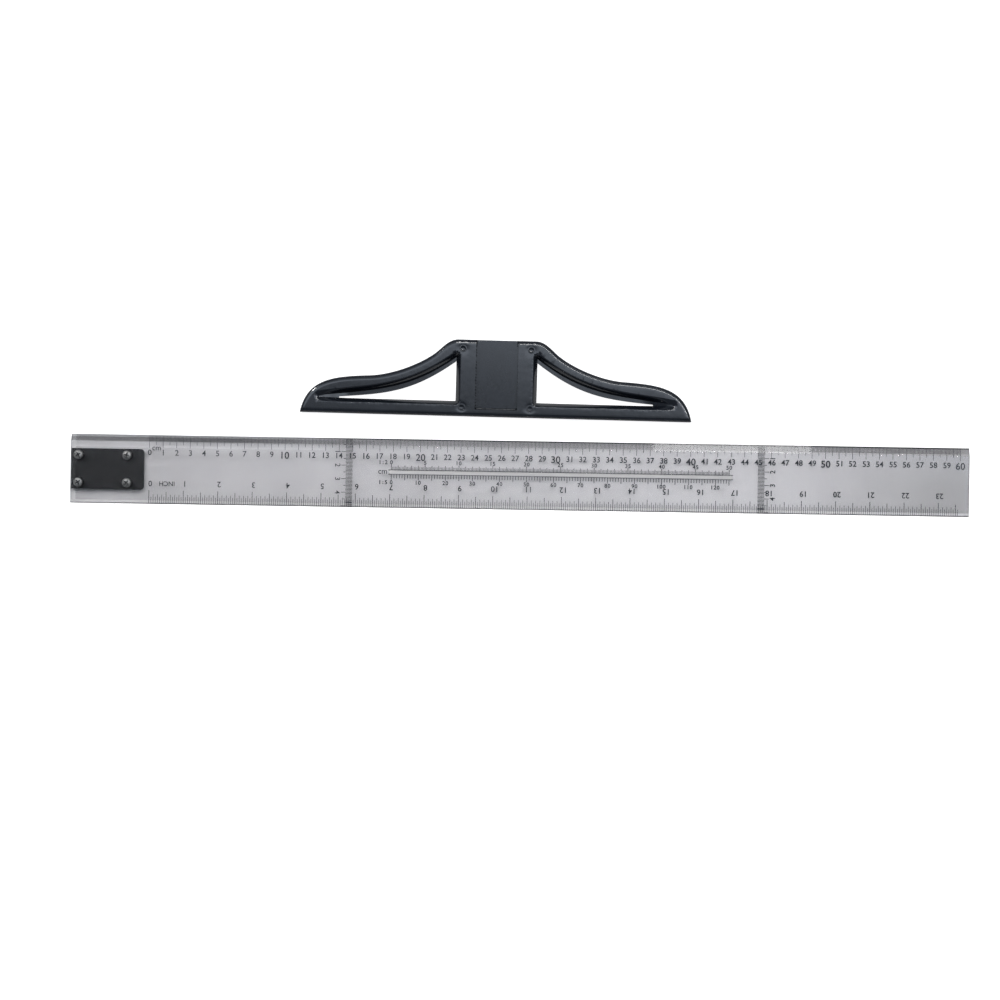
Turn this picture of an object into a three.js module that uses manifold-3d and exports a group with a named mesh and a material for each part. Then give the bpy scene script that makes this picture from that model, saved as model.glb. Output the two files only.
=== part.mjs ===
// A 60 cm T square with a detachable head, taken apart and laid out on a table.
//
// The clear acrylic blade lies along X with its graduations facing up. A black tongue plate is screwed
// under the blade's left end by four self-tapping pan-head screws. The black moulded head lies beside
// the blade, on the +Y side, where it was put down. Its channel is the seat that the tongue pushes into.
// Units are millimetres and +Z is up. The origin is the middle of the whole footprint, on the table.

import * as THREE from "three";
import { mergeVertices } from "three/addons/utils/BufferGeometryUtils.js";
import Module from "manifold-3d";

const wasm = await Module();
wasm.setup();

// ---------------------------------------------------------------- driving dimensions

const CLEARANCE = 0.3; // between pieces that touch on the real object
const THROUGH = 2; // how far a cutting tool runs past the surface it opens

const BLADE = {
  length: 664,
  width: 51,
  thickness: 3,
  bevelWidth: 6, // of the sloped metric edge
  bevelEdge: 1.2, // thickness left at the metric edge
  edgeBreak: 0.3, // small chamfer on the plain edge
};

const SLOT = { start: 234.6, length: 253.9, width: 2.5, centreY: 0.9 };

const TONGUE = {
  length: 53,
  width: 30,
  thickness: 4,
  leadRadius: 2.5, // corners of the end that enters the channel first
  leadLength: 3, // ramp on that end
  leadDrop: 1.2,
};

const SCREW = {
  headDiameter: 7.2,
  headHeight: 2.3,
  headRim: 0.7, // straight part of the head's side
  domeShoulder: 0.8, // how square the dome's side is, as a share of the head's height
  domeCrown: 0.6, // how flat its top is, as a share of the head's radius
  shankDiameter: 2.9,
  shankLength: 6,
  pointLength: 1.2,
  pointDiameter: 1.16,
  recessLength: 4,
  recessWidth: 0.9,
  recessDepth: 1.3,
};

// Screw centres from the blade's left end and centre line, with each screw's turn in degrees.
const SCREW_PLACES = [
  { x: 5.9, y: 10.1, turn: 28 },
  { x: 41.6, y: 10.1, turn: 75 },
  { x: 5.9, y: -10.1, turn: 35 },
  { x: 41.6, y: -10.1, turn: 52 },
];

const HEAD = {
  length: 289,
  depth: 56.4, // from the straight working edge to the flat of the block
  height: 10,
  flangeHeight: 3, // of the web left under the inner side of each arm
  blockHalfWidth: 30,
  flatHalfWidth: 28.5, // of the block's straight back edge
  barWidth: 11.2, // from the working edge to the finger openings
  edgeRound: 2.7, // rounding of the top outer edge, seen from above
  edgeDrop: 3, // the same rounding, seen from the side
};

// The right arm's back edge, as cubic curves from the block's flat to the tip: [handle, handle, end].
const ARM_EDGE = [
  [[35, HEAD.depth], [39, 51.6], [44, 47.2]],
  [[53, 39.4], [74, 29.6], [92.8, 28.2]],
  [[121, 26.8], [139.5, 24.6], [HEAD.length / 2, 0]],
];

// The two cutouts of the right arm: the narrow end in the arm, the upper edge's handles, and the
// height at which that edge meets the block. The opening goes through and the relief stops at the web.
const CUTOUT_END_RADIUS = 0.6;
const OPENING = { tipX: 116, handles: [[82, 15.2], [62, 16.8]], blockY: 40.8 };
const RELIEF = { tipX: 130, handles: [[92, 18.4], [66, 16.5]], blockY: 43.6 };

const CHANNEL = {
  width: 31,
  depth: 4.4,
  endWall: 4.9, // material left at the working edge, at the top
  endRamp: 2.3, // how far the end slopes back at the channel's floor
};

const PIN_MARK = { diameter: 3.6, depth: 0.3, halfSpan: 25.1, nearY: 6.2, farY: 49.5 };

// Where the head lies: the middle of its working edge, from the blade's left end and centre line.
const HEAD_PLACE = { x: 312.6, y: 42.9, turn: -0.62 };

// How many straight pieces stand for each curve.
const FACETS = {
  hole: 20,
  corner: 12,
  screw: 24,
  dome: 5,
  edgeRound: 3,
  armCurve: 12,
  cutout: 16,
  cutoutEnd: 4,
};

// ---------------------------------------------------------------- solids

/** A closed BufferGeometry as a manifold-3d solid. */
function solidOf(geometry) {
  const bare = geometry.clone();
  bare.deleteAttribute("normal");
  bare.deleteAttribute("uv");
  const merged = mergeVertices(bare, 1e-4);
  return new wasm.Manifold(
    new wasm.Mesh({
      numProp: 3,
      vertProperties: new Float32Array(merged.attributes.position.array),
      triVerts: new Uint32Array(merged.index.array),
    }),
  );
}

/** A manifold-3d solid as a BufferGeometry. */
function geometryOf(solid) {
  const mesh = solid.getMesh();
  const geometry = new THREE.BufferGeometry();
  geometry.setAttribute("position", new THREE.BufferAttribute(new Float32Array(mesh.vertProperties), 3));
  geometry.setIndex(new THREE.BufferAttribute(new Uint32Array(mesh.triVerts), 1));
  geometry.computeVertexNormals();
  return geometry;
}

/** A shape in the XY plane raised from one height to another. */
function raise(shape, bottom, top) {
  const options = { depth: top - bottom, bevelEnabled: false, curveSegments: FACETS.corner };
  return new THREE.ExtrudeGeometry(shape, options).translate(0, 0, bottom);
}

/** A shape drawn in the YZ plane and run along X from one place to another. */
function runAlongX(shape, from, to) {
  const geometry = raise(shape, from, to);
  return geometry.rotateX(Math.PI / 2).rotateZ(Math.PI / 2);
}

/** A disc of the given diameter around a point, raised from one height to another. */
function disc(x, y, diameter, bottom, top) {
  const geometry = new THREE.CylinderGeometry(diameter / 2, diameter / 2, top - bottom, FACETS.hole);
  return geometry.rotateX(Math.PI / 2).translate(x, y, (top + bottom) / 2);
}

/** The points of a chain of cubic curves: a start, then [handle, handle, end] for each curve. */
function curvePoints(start, curves, divisions) {
  const points = [new THREE.Vector2(...start)];
  for (const [a, b, end] of curves) {
    const from = points.at(-1);
    const handles = [a, b, end].map((p) => new THREE.Vector2(...p));
    points.push(...new THREE.CubicBezierCurve(from, ...handles).getPoints(divisions).slice(1));
  }
  return points;
}

/** The same points on the other side of the Y axis, in the opposite order. */
function mirrored(points) {
  return points.map((p) => new THREE.Vector2(-p.x, p.y)).reverse();
}

// ---------------------------------------------------------------- blade

function bladeProfile() {
  const half = BLADE.width / 2;
  const { thickness, bevelWidth, bevelEdge, edgeBreak } = BLADE;
  return new THREE.Shape([
    new THREE.Vector2(-half, 0),
    new THREE.Vector2(half, 0),
    new THREE.Vector2(half, bevelEdge),
    new THREE.Vector2(half - bevelWidth, thickness),
    new THREE.Vector2(-half + edgeBreak, thickness),
    new THREE.Vector2(-half, thickness - edgeBreak),
  ]);
}

function slotOutline() {
  const radius = SLOT.width / 2;
  const outline = new THREE.Shape();
  outline.absarc(SLOT.start + radius, SLOT.centreY, radius, Math.PI / 2, (3 * Math.PI) / 2);
  outline.absarc(SLOT.start + SLOT.length - radius, SLOT.centreY, radius, -Math.PI / 2, Math.PI / 2);
  outline.closePath();
  return outline;
}

/** The blade with its underside at z = 0. */
function bladeGeometry() {
  let blade = solidOf(runAlongX(bladeProfile(), 0, BLADE.length));
  blade = blade.subtract(solidOf(raise(slotOutline(), -THROUGH, BLADE.thickness + THROUGH)));
  for (const { x, y } of SCREW_PLACES) {
    const hole = disc(x, y, SCREW.shankDiameter + 2 * CLEARANCE, -THROUGH, BLADE.thickness + THROUGH);
    blade = blade.subtract(solidOf(hole));
  }
  return geometryOf(blade);
}

// ---------------------------------------------------------------- tongue plate

function tongueOutline() {
  const half = TONGUE.width / 2;
  const { length, leadRadius } = TONGUE;
  const outline = new THREE.Shape();
  outline.moveTo(0, -half);
  outline.lineTo(length - leadRadius, -half);
  outline.absarc(length - leadRadius, -half + leadRadius, leadRadius, -Math.PI / 2, 0);
  outline.absarc(length - leadRadius, half - leadRadius, leadRadius, 0, Math.PI / 2);
  outline.lineTo(0, half);
  outline.closePath();
  return outline;
}

/** The wedge that is cut away to leave the lead-in ramp, as seen from the side. */
function leadWedge() {
  const { length, leadLength, leadDrop, width } = TONGUE;
  const wedge = new THREE.Shape([
    new THREE.Vector2(length - leadLength, 0),
    new THREE.Vector2(length + leadLength, -2 * leadDrop),
    new THREE.Vector2(length + leadLength, THROUGH),
    new THREE.Vector2(length - leadLength, THROUGH),
  ]);
  return raise(wedge, -width, width).rotateX(Math.PI / 2);
}

/** The tongue plate with its top face at z = 0. */
function tongueGeometry() {
  let plate = solidOf(raise(tongueOutline(), -TONGUE.thickness, 0));
  plate = plate.subtract(solidOf(leadWedge()));
  for (const { x, y } of SCREW_PLACES) {
    const hole = disc(x, y, SCREW.shankDiameter + 2 * CLEARANCE, -TONGUE.thickness - THROUGH, THROUGH);
    plate = plate.subtract(solidOf(hole));
  }
  return geometryOf(plate);
}

// ---------------------------------------------------------------- screws

/** Half the outline of a pan-head screw that is turned about its axis, with the head's seat at z = 0. */
function screwProfile() {
  const head = SCREW.headDiameter / 2;
  const shank = SCREW.shankDiameter / 2;
  const domeStart = new THREE.Vector2(head, SCREW.headRim);
  const domeTop = new THREE.Vector2(0, SCREW.headHeight);
  const dome = new THREE.CubicBezierCurve(
    domeStart,
    new THREE.Vector2(head, SCREW.headHeight * SCREW.domeShoulder),
    new THREE.Vector2(head * SCREW.domeCrown, SCREW.headHeight),
    domeTop,
  );
  return [
    new THREE.Vector2(0, -SCREW.shankLength),
    new THREE.Vector2(SCREW.pointDiameter / 2, -SCREW.shankLength),
    new THREE.Vector2(shank, -SCREW.shankLength + SCREW.pointLength),
    new THREE.Vector2(shank, 0),
    new THREE.Vector2(head, 0),
    ...dome.getPoints(FACETS.dome),
  ];
}

function crossOutline() {
  const arm = SCREW.recessLength / 2;
  const half = SCREW.recessWidth / 2;
  const corners = [];
  for (let quarter = 0; quarter < 4; quarter += 1) {
    const turn = (quarter * Math.PI) / 2;
    for (const [x, y] of [[arm, -half], [arm, half], [half, half]]) {
      corners.push(new THREE.Vector2(x, y).rotateAround(new THREE.Vector2(), turn));
    }
  }
  return new THREE.Shape(corners);
}

function screwGeometry() {
  const turned = new THREE.LatheGeometry(screwProfile(), FACETS.screw).rotateX(Math.PI / 2);
  const { headHeight, recessDepth } = SCREW;
  const recess = raise(crossOutline(), headHeight - recessDepth, headHeight + THROUGH);
  return geometryOf(solidOf(turned).subtract(solidOf(recess)));
}

// ---------------------------------------------------------------- head

/** The outer outline: a straight working edge, two swept arms and a flat block between them. */
function headOutline() {
  const right = curvePoints([HEAD.flatHalfWidth, HEAD.depth], ARM_EDGE, FACETS.armCurve);
  return new THREE.Shape([...right, ...mirrored(right)]);
}

/** One side's opening or relief: square at the block, drawn out to a narrow round end in the arm. */
function armCutout({ tipX, handles, blockY }, side) {
  const { blockHalfWidth, barWidth } = HEAD;
  const endX = tipX + CUTOUT_END_RADIUS;
  const endY = barWidth + 2 * CUTOUT_END_RADIUS;
  const endCurve = [[endX, barWidth], [endX, endY], [tipX, endY]];
  const end = curvePoints([tipX, barWidth], [endCurve], FACETS.cutoutEnd);
  const upper = curvePoints([tipX, endY], [[...handles, [blockHalfWidth, blockY]]], FACETS.cutout);
  const points = [new THREE.Vector2(blockHalfWidth, barWidth), ...end, ...upper.slice(1)];
  return new THREE.Shape(side > 0 ? points : mirrored(points));
}

/** The outline raised to the head's full height, with its top edge rounded over. */
function headBlank() {
  const geometry = new THREE.ExtrudeGeometry(headOutline(), {
    depth: HEAD.height,
    bevelThickness: HEAD.edgeDrop,
    bevelSize: HEAD.edgeRound,
    bevelOffset: -HEAD.edgeRound,
    bevelSegments: FACETS.edgeRound,
  });
  geometry.translate(0, 0, -HEAD.edgeDrop);
  const below = new THREE.BoxGeometry(2 * HEAD.length, 4 * HEAD.depth, HEAD.height);
  below.translate(0, 0, -HEAD.height / 2);
  return solidOf(geometry).subtract(solidOf(below));
}

/** What is cut for one relief: straight sides up from the web, then sides that slope outwards. */
function reliefTool(side) {
  const shape = armCutout(RELIEF, side);
  const straight = solidOf(raise(shape, HEAD.flangeHeight, HEAD.height + THROUGH));
  const flare = new THREE.ExtrudeGeometry(shape, {
    depth: THROUGH,
    bevelThickness: HEAD.edgeDrop,
    bevelSize: HEAD.edgeRound,
    bevelSegments: 1,
  });
  flare.translate(0, 0, HEAD.height);
  return straight.add(solidOf(flare));
}

/** The channel's section along the head: a flat floor that ramps up at the working edge. */
function channelTool() {
  const floor = HEAD.height - CHANNEL.depth;
  const top = HEAD.height + THROUGH;
  const section = new THREE.Shape([
    new THREE.Vector2(CHANNEL.endWall + CHANNEL.endRamp, floor),
    new THREE.Vector2(HEAD.depth + THROUGH, floor),
    new THREE.Vector2(HEAD.depth + THROUGH, top),
    new THREE.Vector2(CHANNEL.endWall, top),
    new THREE.Vector2(CHANNEL.endWall, HEAD.height),
  ]);
  return solidOf(runAlongX(section, -CHANNEL.width / 2, CHANNEL.width / 2));
}

/** The head with its underside at z = 0 and the middle of its working edge at x = y = 0. */
function headGeometry() {
  let head = headBlank();
  for (const side of [-1, 1]) {
    head = head.subtract(reliefTool(side));
    const opening = armCutout(OPENING, side);
    head = head.subtract(solidOf(raise(opening, -THROUGH, HEAD.height + THROUGH)));
  }
  head = head.subtract(channelTool());
  for (const x of [-PIN_MARK.halfSpan, PIN_MARK.halfSpan]) {
    for (const y of [PIN_MARK.nearY, PIN_MARK.farY]) {
      const mark = disc(x, y, PIN_MARK.diameter, HEAD.height - PIN_MARK.depth, HEAD.height + THROUGH);
      head = head.subtract(solidOf(mark));
    }
  }
  return geometryOf(head);
}

// ---------------------------------------------------------------- assembly

const acrylic = new THREE.MeshStandardMaterial({
  color: 0xb8b8bc,
  roughness: 0.08,
  metalness: 0,
  transparent: true,
  opacity: 0.45,
});
const mattBlack = new THREE.MeshStandardMaterial({ color: 0x2b2b2c, roughness: 0.6, metalness: 0 });
const glossBlack = new THREE.MeshStandardMaterial({ color: 0x2b2f36, roughness: 0.3, metalness: 0 });
const nickel = new THREE.MeshStandardMaterial({ color: 0x9a9894, roughness: 0.35, metalness: 1 });

function part(name, geometry, material) {
  const mesh = new THREE.Mesh(geometry, material);
  mesh.name = name;
  return mesh;
}

/** The blade, its tongue plate and screws, tilted because the left end rests on the tongue. */
function bladeAssembly() {
  const group = new THREE.Group();
  group.add(part("blade", bladeGeometry(), acrylic));

  const tongue = part("tongue_plate", tongueGeometry(), mattBlack);
  tongue.position.z = -CLEARANCE;
  group.add(tongue);

  SCREW_PLACES.forEach(({ x, y, turn }, index) => {
    const screw = part(`screw_${index + 1}`, screwGeometry(), nickel);
    screw.position.set(x, y, BLADE.thickness + CLEARANCE);
    screw.rotation.z = THREE.MathUtils.degToRad(turn);
    group.add(screw);
  });

  const drop = TONGUE.thickness + CLEARANCE;
  group.rotation.y = Math.asin(drop / (BLADE.length - TONGUE.length));
  return group;
}

function looseHead() {
  const head = part("head", headGeometry(), glossBlack);
  head.position.set(HEAD_PLACE.x, HEAD_PLACE.y, 0);
  head.rotation.z = THREE.MathUtils.degToRad(HEAD_PLACE.turn);
  return head;
}

const layout = new THREE.Group();
const bladeSet = bladeAssembly();
layout.add(bladeSet, looseHead());

// The blade comes down until it touches the table, and then the whole footprint is centred.
bladeSet.position.z = -new THREE.Box3().setFromObject(bladeSet, true).min.z;
const footprint = new THREE.Box3().setFromObject(layout, true);
const middle = footprint.getCenter(new THREE.Vector3());
layout.position.set(-middle.x, -middle.y, -footprint.min.z);

const tSquare = new THREE.Group();
tSquare.add(layout);

export default tSquare;
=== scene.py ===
"""Looks of a T square that lies taken apart: a clear graduated blade with its tongue, and a black head.

Lengths are in millimetres until a mesh is made; meshes, lights and the camera are in metres, in the
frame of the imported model. Blade coordinates run along the blade from its left end, across it from the
centre line, and up from its underside. Head coordinates start at the middle of the working edge.
"""

import math

import bmesh
import bpy
import numpy as np
from mathutils import Matrix, Vector
from mathutils.geometry import delaunay_2d_cdt


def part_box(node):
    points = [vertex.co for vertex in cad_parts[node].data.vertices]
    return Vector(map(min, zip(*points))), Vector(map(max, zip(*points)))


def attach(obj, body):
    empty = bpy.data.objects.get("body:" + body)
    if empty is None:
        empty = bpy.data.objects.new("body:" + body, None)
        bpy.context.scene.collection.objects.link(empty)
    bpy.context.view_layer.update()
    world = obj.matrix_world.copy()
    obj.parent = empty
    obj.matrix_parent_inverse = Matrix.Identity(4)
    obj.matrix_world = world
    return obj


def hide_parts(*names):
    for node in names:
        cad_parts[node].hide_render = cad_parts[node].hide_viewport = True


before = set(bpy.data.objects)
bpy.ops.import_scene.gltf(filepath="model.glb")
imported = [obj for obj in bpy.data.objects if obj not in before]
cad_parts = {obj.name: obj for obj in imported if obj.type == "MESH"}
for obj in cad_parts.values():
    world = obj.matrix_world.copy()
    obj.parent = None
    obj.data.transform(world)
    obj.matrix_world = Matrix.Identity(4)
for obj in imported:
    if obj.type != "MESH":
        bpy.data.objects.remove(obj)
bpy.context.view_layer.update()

MM = 0.001

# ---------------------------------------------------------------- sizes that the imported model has

BLADE_LENGTH = 664.0
BLADE_WIDTH = 51.0
BLADE_THICKNESS = 3.0
BEVEL_WIDTH = 6.0
SLOT_START = 234.6
SLOT_LENGTH = 253.9
SLOT_WIDTH = 2.5
SLOT_Y = 0.9

TONGUE_LENGTH = 53.0
TONGUE_WIDTH = 30.0
TONGUE_THICKNESS = 4.0
TONGUE_CORNER = 2.5
LEAD_LENGTH = 3.0
LEAD_DROP = 1.2
CLEARANCE = 0.3

SCREW_HEAD = 7.2
SCREW_HEIGHT = 2.3
SCREW_RIM = 0.7
SHANK = 2.9
SHANK_LENGTH = 6.0
# Where each screw is on the blade, and how its cross is turned, in degrees.
SCREWS = {
    "screw_1": (5.9, 10.1, 28),
    "screw_2": (41.6, 10.1, 75),
    "screw_3": (5.9, -10.1, 35),
    "screw_4": (41.6, -10.1, 52),
}

HEAD_LENGTH = 289.0
HEAD_DEPTH = 56.4
HEAD_HEIGHT = 10.0
HEAD_TURN = math.radians(-0.62)
WEB_HEIGHT = 3.0
BLOCK_HALF = 30.0
FLAT_HALF = 28.5
BAR_WIDTH = 11.2
EDGE_DROP = 3.0
ARM_EDGE = [
    [(35, HEAD_DEPTH), (39, 51.6), (44, 47.2)],
    [(53, 39.4), (74, 29.6), (92.8, 28.2)],
    [(121, 26.8), (139.5, 24.6), (HEAD_LENGTH / 2, 0)],
]
OPENING = {"tip": 116, "handles": [(82, 15.2), (62, 16.8)], "block_y": 40.8}
RELIEF = {"tip": 130, "handles": [(92, 18.4), (66, 16.5)], "block_y": 43.6}
CUTOUT_END = 0.6
CHANNEL_HALF = 15.5
CHANNEL_FLOOR = 5.6
CHANNEL_END = 4.9
PIN_MARKS = [(25.1, 6.2), (25.1, 49.5)]
PIN_RADIUS = 1.8
PIN_DEPTH = 0.3

# ---------------------------------------------------------------- sizes that only the looks have

SHOULDER = 2.2  # the steep part of the head's rounded edge
RIM_WIDTH = 1.5  # the gentle part, inside it
RIM_DROP = 0.2
INNER_SLOPE = 3.4  # how far the sides of a relief lean out
SLOPE_POWER = 1.5  # 1 is a straight side, and more is a side that is steeper at its foot
RUN_OUT = 24.0  # over this length the bottom of a relief rises to the arm's narrow end
RUN_OUT_SHARE = 0.85  # how much of the way to the arm's top it rises
RUN_OUT_LEAD = 0.9  # how much of that length comes before the relief's tip
CHANNEL_RAMP = 1.4  # the channel's floor rises to the bar over this length
WALL = 0.12  # lean of the channel's walls
FOOT = 0.3  # rounding of the edges that lie on the table
PLATE_EDGE = 0.35  # rounding of the tongue plate's upper edges
EDGE_POLISH = 0.15  # rounding of the blade's edges

PIN_SINK, PIN_SINK_SPREAD = 0.28, 2.8  # the wide dip round an ejector mark
PIN_LIP, PIN_LIP_SPREAD = 0.1, 0.25  # the raised line round its edge
PIN_EDGE = 0.3

RECESS_LENGTH = 4.2
RECESS_WIDTH = 1.0
RECESS_DEPTH = 1.25
RECESS_TAPER = 0.35
DOME_POWER = 3.4  # 2 is a round dome, and more is a flatter one with a tighter edge
HEAD_SIDES = 56
SHANK_SIDES = 32
THREAD_TURNS = 4
THREAD_PITCH = 1.1
THREAD_CORE = 0.82  # the core's share of the shank's width

CM = 10.0
INCH = 25.4
ZERO = 57.5  # where both long scales begin
INK_LOW = 0.04
INK_HIGH = 0.09
CAPITAL = 0.73  # a capital's height, as a share of the font's size
THIN_LINE = 0.32
THICK_LINE = 0.42
CROSS_LINE = 0.36
MILLIMETRE_LINE = 0.25

# Marks of each scale, the longest kind first, and the gap between them and the edge or the slot.
CM_MARKS, CM_GAP = (8.9, 6.7, 4.6), 0.6
INCH_MARKS, INCH_GAP = (9.6, 8.6, 6.6, 4.9), 0.5
HALF_SCALE_MARKS = (4.1, 3.4, 2.5)
FIFTH_SCALE_MARKS = (4.3, 2.8)
SLOT_GAP = 0.35
SLOT_ZERO = ZERO + 178.7  # where both reduced scales begin

# Heights of the figures, and how far they are from the edge, the slot's middle or the marks.
CM_FIGURE, CM_TENS_FIGURE, CM_FIGURE_TOP = 4.3, 5.3, 10.8
CM_WORD = 4.2
INCH_FIGURE, INCH_WORD, INCH_FIGURE_IN = 4.3, 3.5, 14.6
SLOT_FIGURE, HALF_FIGURE_OUT, FIFTH_FIGURE_OUT = 3.0, 7.3, 7.5
CROSS_FIGURE, CROSS_FIGURE_OUT = 4.0, 5.9

# Scales across the blade: where each begins, and the side that its figures are on.
CROSS_SCALES = {"left_cross_scale": (ZERO + 145, -1), "right_cross_scale": (ZERO + 450, 1)}
CROSS_WIDTH = 5.0
CROSS_REACH = (3.3, 1.7, 0)  # how far each kind of mark sticks out past that width
CROSS_END = 47.6  # the thick line that closes the scale
CROSS_END_LINE = 0.7

# ---------------------------------------------------------------- colours and light

CLEAR = (0.795, 0.795, 0.812)  # what the blade's whole thickness lets through
CLEAR_TO_LIGHT = (0.93, 0.93, 0.94, 1)  # what it lets through of the light that falls on the table
ACRYLIC_IOR = 1.49
MATT_BLACK = (0.0082, 0.0076, 0.007)
GLOSS_BLACK = (0.008, 0.0095, 0.013)
GRAINED_BLACK = (0.009, 0.0105, 0.014)
STEEL_DULL, STEEL_BRIGHT = (0.12, 0.117, 0.11), (0.4, 0.39, 0.37)
INK_DARK, INK_PALE = (0.010, 0.010, 0.012), (0.035, 0.035, 0.04)
TABLE_DARK, TABLE_PALE = (0.535, 0.52, 0.505), (0.545, 0.53, 0.515)
TABLE_GLOW = 0.95  # what makes the table look white beside the object
ROOM_COLOUR = (0.84, 0.93, 1.06, 1)

SUN_STRENGTH = 0.85
SUN_DIRECTION = (0.62, -0.62, -1)
SUN_ANGLE = math.radians(5)

CAMERA_HEIGHT = 1.2
SEEN_WIDTH = 0.7418
SENSOR = 36.0
CAMERA_OVER = (316.9, -18.4)  # the point of the blade's plane that it looks at
CAMERA_TURN = math.radians(0.93)

# ---------------------------------------------------------------- where the two loose bodies lie

blade_low, blade_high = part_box("blade")
tilt = math.asin((TONGUE_THICKNESS + CLEARANCE) / (BLADE_LENGTH - TONGUE_LENGTH))
blade_place = Matrix.Translation(
    (blade_low.x, (blade_low.y + blade_high.y) / 2, BLADE_LENGTH * MM * math.sin(tilt))
) @ Matrix.Rotation(tilt, 4, "Y")

head_low, head_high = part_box("head")
head_middle = (
    head_high.x - math.cos(HEAD_TURN) * HEAD_LENGTH / 2 * MM,
    head_low.y - math.sin(HEAD_TURN) * HEAD_LENGTH / 2 * MM,
    0.0,
)
head_place = Matrix.Translation(head_middle) @ Matrix.Rotation(HEAD_TURN, 4, "Z")

# ---------------------------------------------------------------- lines and distances


def bezier(start, a, b, end, count):
    """Points on a cubic curve, ends included."""
    t = np.linspace(0, 1, count)[:, None]
    start, a, b, end = (np.array(p, float) for p in (start, a, b, end))
    return (1 - t) ** 3 * start + 3 * t * (1 - t) ** 2 * a + 3 * t**2 * (1 - t) * b + t**3 * end


def spaced(points, step):
    """The same line with its points an even step apart, its ends kept."""
    points = np.array(points, float)
    lengths = np.r_[0, np.cumsum(np.linalg.norm(np.diff(points, axis=0), axis=1))]
    count = max(round(lengths[-1] / step), 1)
    at = np.linspace(0, lengths[-1], count + 1)
    return np.c_[np.interp(at, lengths, points[:, 0]), np.interp(at, lengths, points[:, 1])]


def ring_of(stretches, step):
    """A closed ring of evenly spaced points from stretches that follow one another."""
    return np.concatenate([spaced(stretch, step)[:-1] for stretch in stretches])


def ring_through(corners, step):
    """A closed ring of evenly spaced points along straight sides."""
    sides = zip(corners, [*corners[1:], corners[0]])
    return ring_of([list(side) for side in sides], step)


def circle(x, y, radius, count):
    """A ring of evenly spaced points, anticlockwise."""
    turns = np.linspace(0, 2 * math.pi, count, endpoint=False)
    return np.c_[x + radius * np.cos(turns), y + radius * np.sin(turns)]


def mirrored(points):
    """The same ring or line on the other side of the Y axis, still running the same way round."""
    return (points * (-1, 1))[::-1]


def distance_to(points, ring):
    """Each point's distance to a closed ring."""
    along = np.roll(ring, -1, axis=0) - ring
    nearest = np.empty(len(points))
    chunk = 4000
    for first in range(0, len(points), chunk):
        p = points[first : first + chunk, None, :]
        share = np.clip(((p - ring) * along).sum(2) / (along**2).sum(1), 0, 1)
        gap = p - ring - share[..., None] * along
        nearest[first : first + chunk] = np.sqrt((gap**2).sum(2)).min(1)
    return nearest


def inside(points, ring):
    """Whether each point is inside a closed ring."""
    x, y = points[:, 0, None], points[:, 1, None]
    ax, ay = ring.T
    bx, by = np.roll(ring, -1, axis=0).T
    spans = (ay > y) != (by > y)
    rise = np.where(by == ay, 1, by - ay)
    crossings = spans & (x < ax + (y - ay) / rise * (bx - ax))
    return crossings.sum(1) % 2 == 1


def normals(ring):
    """The direction to the left of a ring at each of its points."""
    ahead = np.roll(ring, -1, axis=0) - np.roll(ring, 1, axis=0)
    return np.c_[-ahead[:, 1], ahead[:, 0]] / np.linalg.norm(ahead, axis=1)[:, None]


def beside(ring, reach):
    """Points at a set distance from a ring, on both sides, where no other part of it is nearer."""
    both = np.concatenate([ring + normals(ring) * reach, ring - normals(ring) * reach])
    return both[distance_to(both, ring) > reach * 0.97]


def thinned(points, rings, gap):
    """The points that keep their distance from the rings and from each other."""
    clear = np.ones(len(points), bool)
    for ring in rings:
        clear &= distance_to(points, ring) > gap
    cells = np.round(points[clear] / gap).astype(int)
    _, first = np.unique(cells, axis=0, return_index=True)
    return points[clear][np.sort(first)]


def net(low, high, step):
    """Points of a square net over a rectangle."""
    columns = np.arange(low[0], high[0], step)
    rows = np.arange(low[1], high[1], step)
    return np.stack(np.meshgrid(columns, rows), -1).reshape(-1, 2)


def ease(t):
    """Goes smoothly from 0 to 1 as t does, and stays at either beyond them."""
    t = np.clip(t, 0, 1)
    return t * t * (3 - 2 * t)


# ---------------------------------------------------------------- mesh making


def new_object(name, data):
    obj = bpy.data.objects.new(name, data)
    bpy.context.scene.collection.objects.link(obj)
    return obj


def mesh_from(bm, name):
    """The mesh of a finished bmesh, whose faces are made to point outwards."""
    bmesh.ops.recalc_face_normals(bm, faces=bm.faces)
    mesh = bpy.data.meshes.new(name)
    bm.to_mesh(mesh)
    bm.free()
    return mesh


def placed(mesh, place, smooth_angle=None):
    """Turns a mesh in millimetres into one in metres that is where it belongs."""
    mesh.transform(place @ Matrix.Scale(MM, 4))
    if smooth_angle is None:
        mesh.shade_flat()
    else:
        mesh.shade_smooth()
        mesh.set_sharp_from_angle(angle=math.radians(smooth_angle))
    mesh.update()
    return mesh


def triangles_over(outline, holes, creases, seeds):
    """Points and triangles over an outline with holes, with triangle sides along open creases.

    Also gives, for each point, its place among the points of the outline and the holes.
    """
    edges = []
    start = 0
    for line, closed in [(outline, True), *((h, True) for h in holes), *((c, False) for c in creases)]:
        last = len(line) if closed else len(line) - 1
        edges += [(start + i, start + (i + 1) % len(line)) for i in range(last)]
        start += len(line)
    points = np.concatenate([outline, *holes, *creases, seeds])
    tolerance = 1e-5
    result = delaunay_2d_cdt([Vector(p) for p in points], edges, [], 0, tolerance)
    flat = np.array([tuple(v) for v in result[0]])
    faces = np.array(result[2])
    centres = flat[faces].mean(1)
    wanted = inside(centres, outline)
    for hole in holes:
        wanted &= ~inside(centres, hole)
    return flat, faces[wanted], [sources[0] if sources else None for sources in result[3]]


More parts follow.
